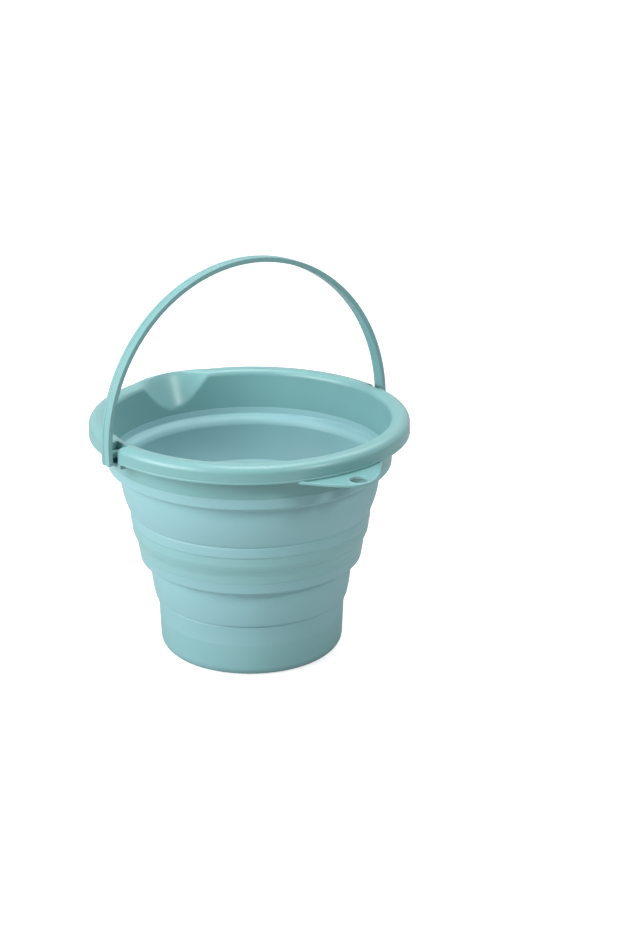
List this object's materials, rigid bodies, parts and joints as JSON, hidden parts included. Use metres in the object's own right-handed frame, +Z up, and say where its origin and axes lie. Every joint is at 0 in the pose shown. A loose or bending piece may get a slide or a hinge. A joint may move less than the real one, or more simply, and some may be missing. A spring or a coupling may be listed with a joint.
{
  "type": "collapsible camp bucket",
  "caption": "Round collapsible bucket of stiff rings joined by soft folding bands, with a pouring spout, a hanging tab and a swinging bail handle.",
  "frame": {"origin": "on the bucket's axis at the ground, in the middle of the cup's flat underside", "axes": "+Z up; the handle's pivot axis is along X; the hanging tab points to -Y and the spout to +Y"},
  "size_m": [0.33, 0.3474, 0.398],
  "materials": {
    "cup_plastic": "moulded polypropylene, satin",
    "middle_plastic": "moulded polypropylene, satin",
    "rim_plastic": "moulded polypropylene, satin",
    "handle_plastic": "moulded polypropylene, satin",
    "lower_rubber": "moulded thermoplastic rubber, matt",
    "upper_rubber": "moulded thermoplastic rubber, matt"
  },
  "bodies": {
    "cup": {"base_cup": "cup_plastic", "lower_fold": "lower_rubber"},
    "middle": {"middle_ring": "middle_plastic", "upper_fold": "upper_rubber"},
    "top": {"rim": "rim_plastic"},
    "bail": {"handle": "handle_plastic"}
  },
  "joints": [
    {"name": "lower_collapse", "type": "slide", "parent": "cup", "child": "middle", "axis": [0, 0, 1], "range_m": [-0.082, 0], "deforming": ["lower_fold"]},
    {"name": "upper_collapse", "type": "slide", "parent": "middle", "child": "top", "axis": [0, 0, 1], "range_m": [-0.093, 0], "deforming": ["upper_fold"]},
    {"name": "handle_swing", "type": "hinge", "parent": "top", "child": "bail", "pos_m": [0, 0, 0.233], "axis": [-1, 0, 0], "range_deg": [-92.36, 127.64]}
  ]
}
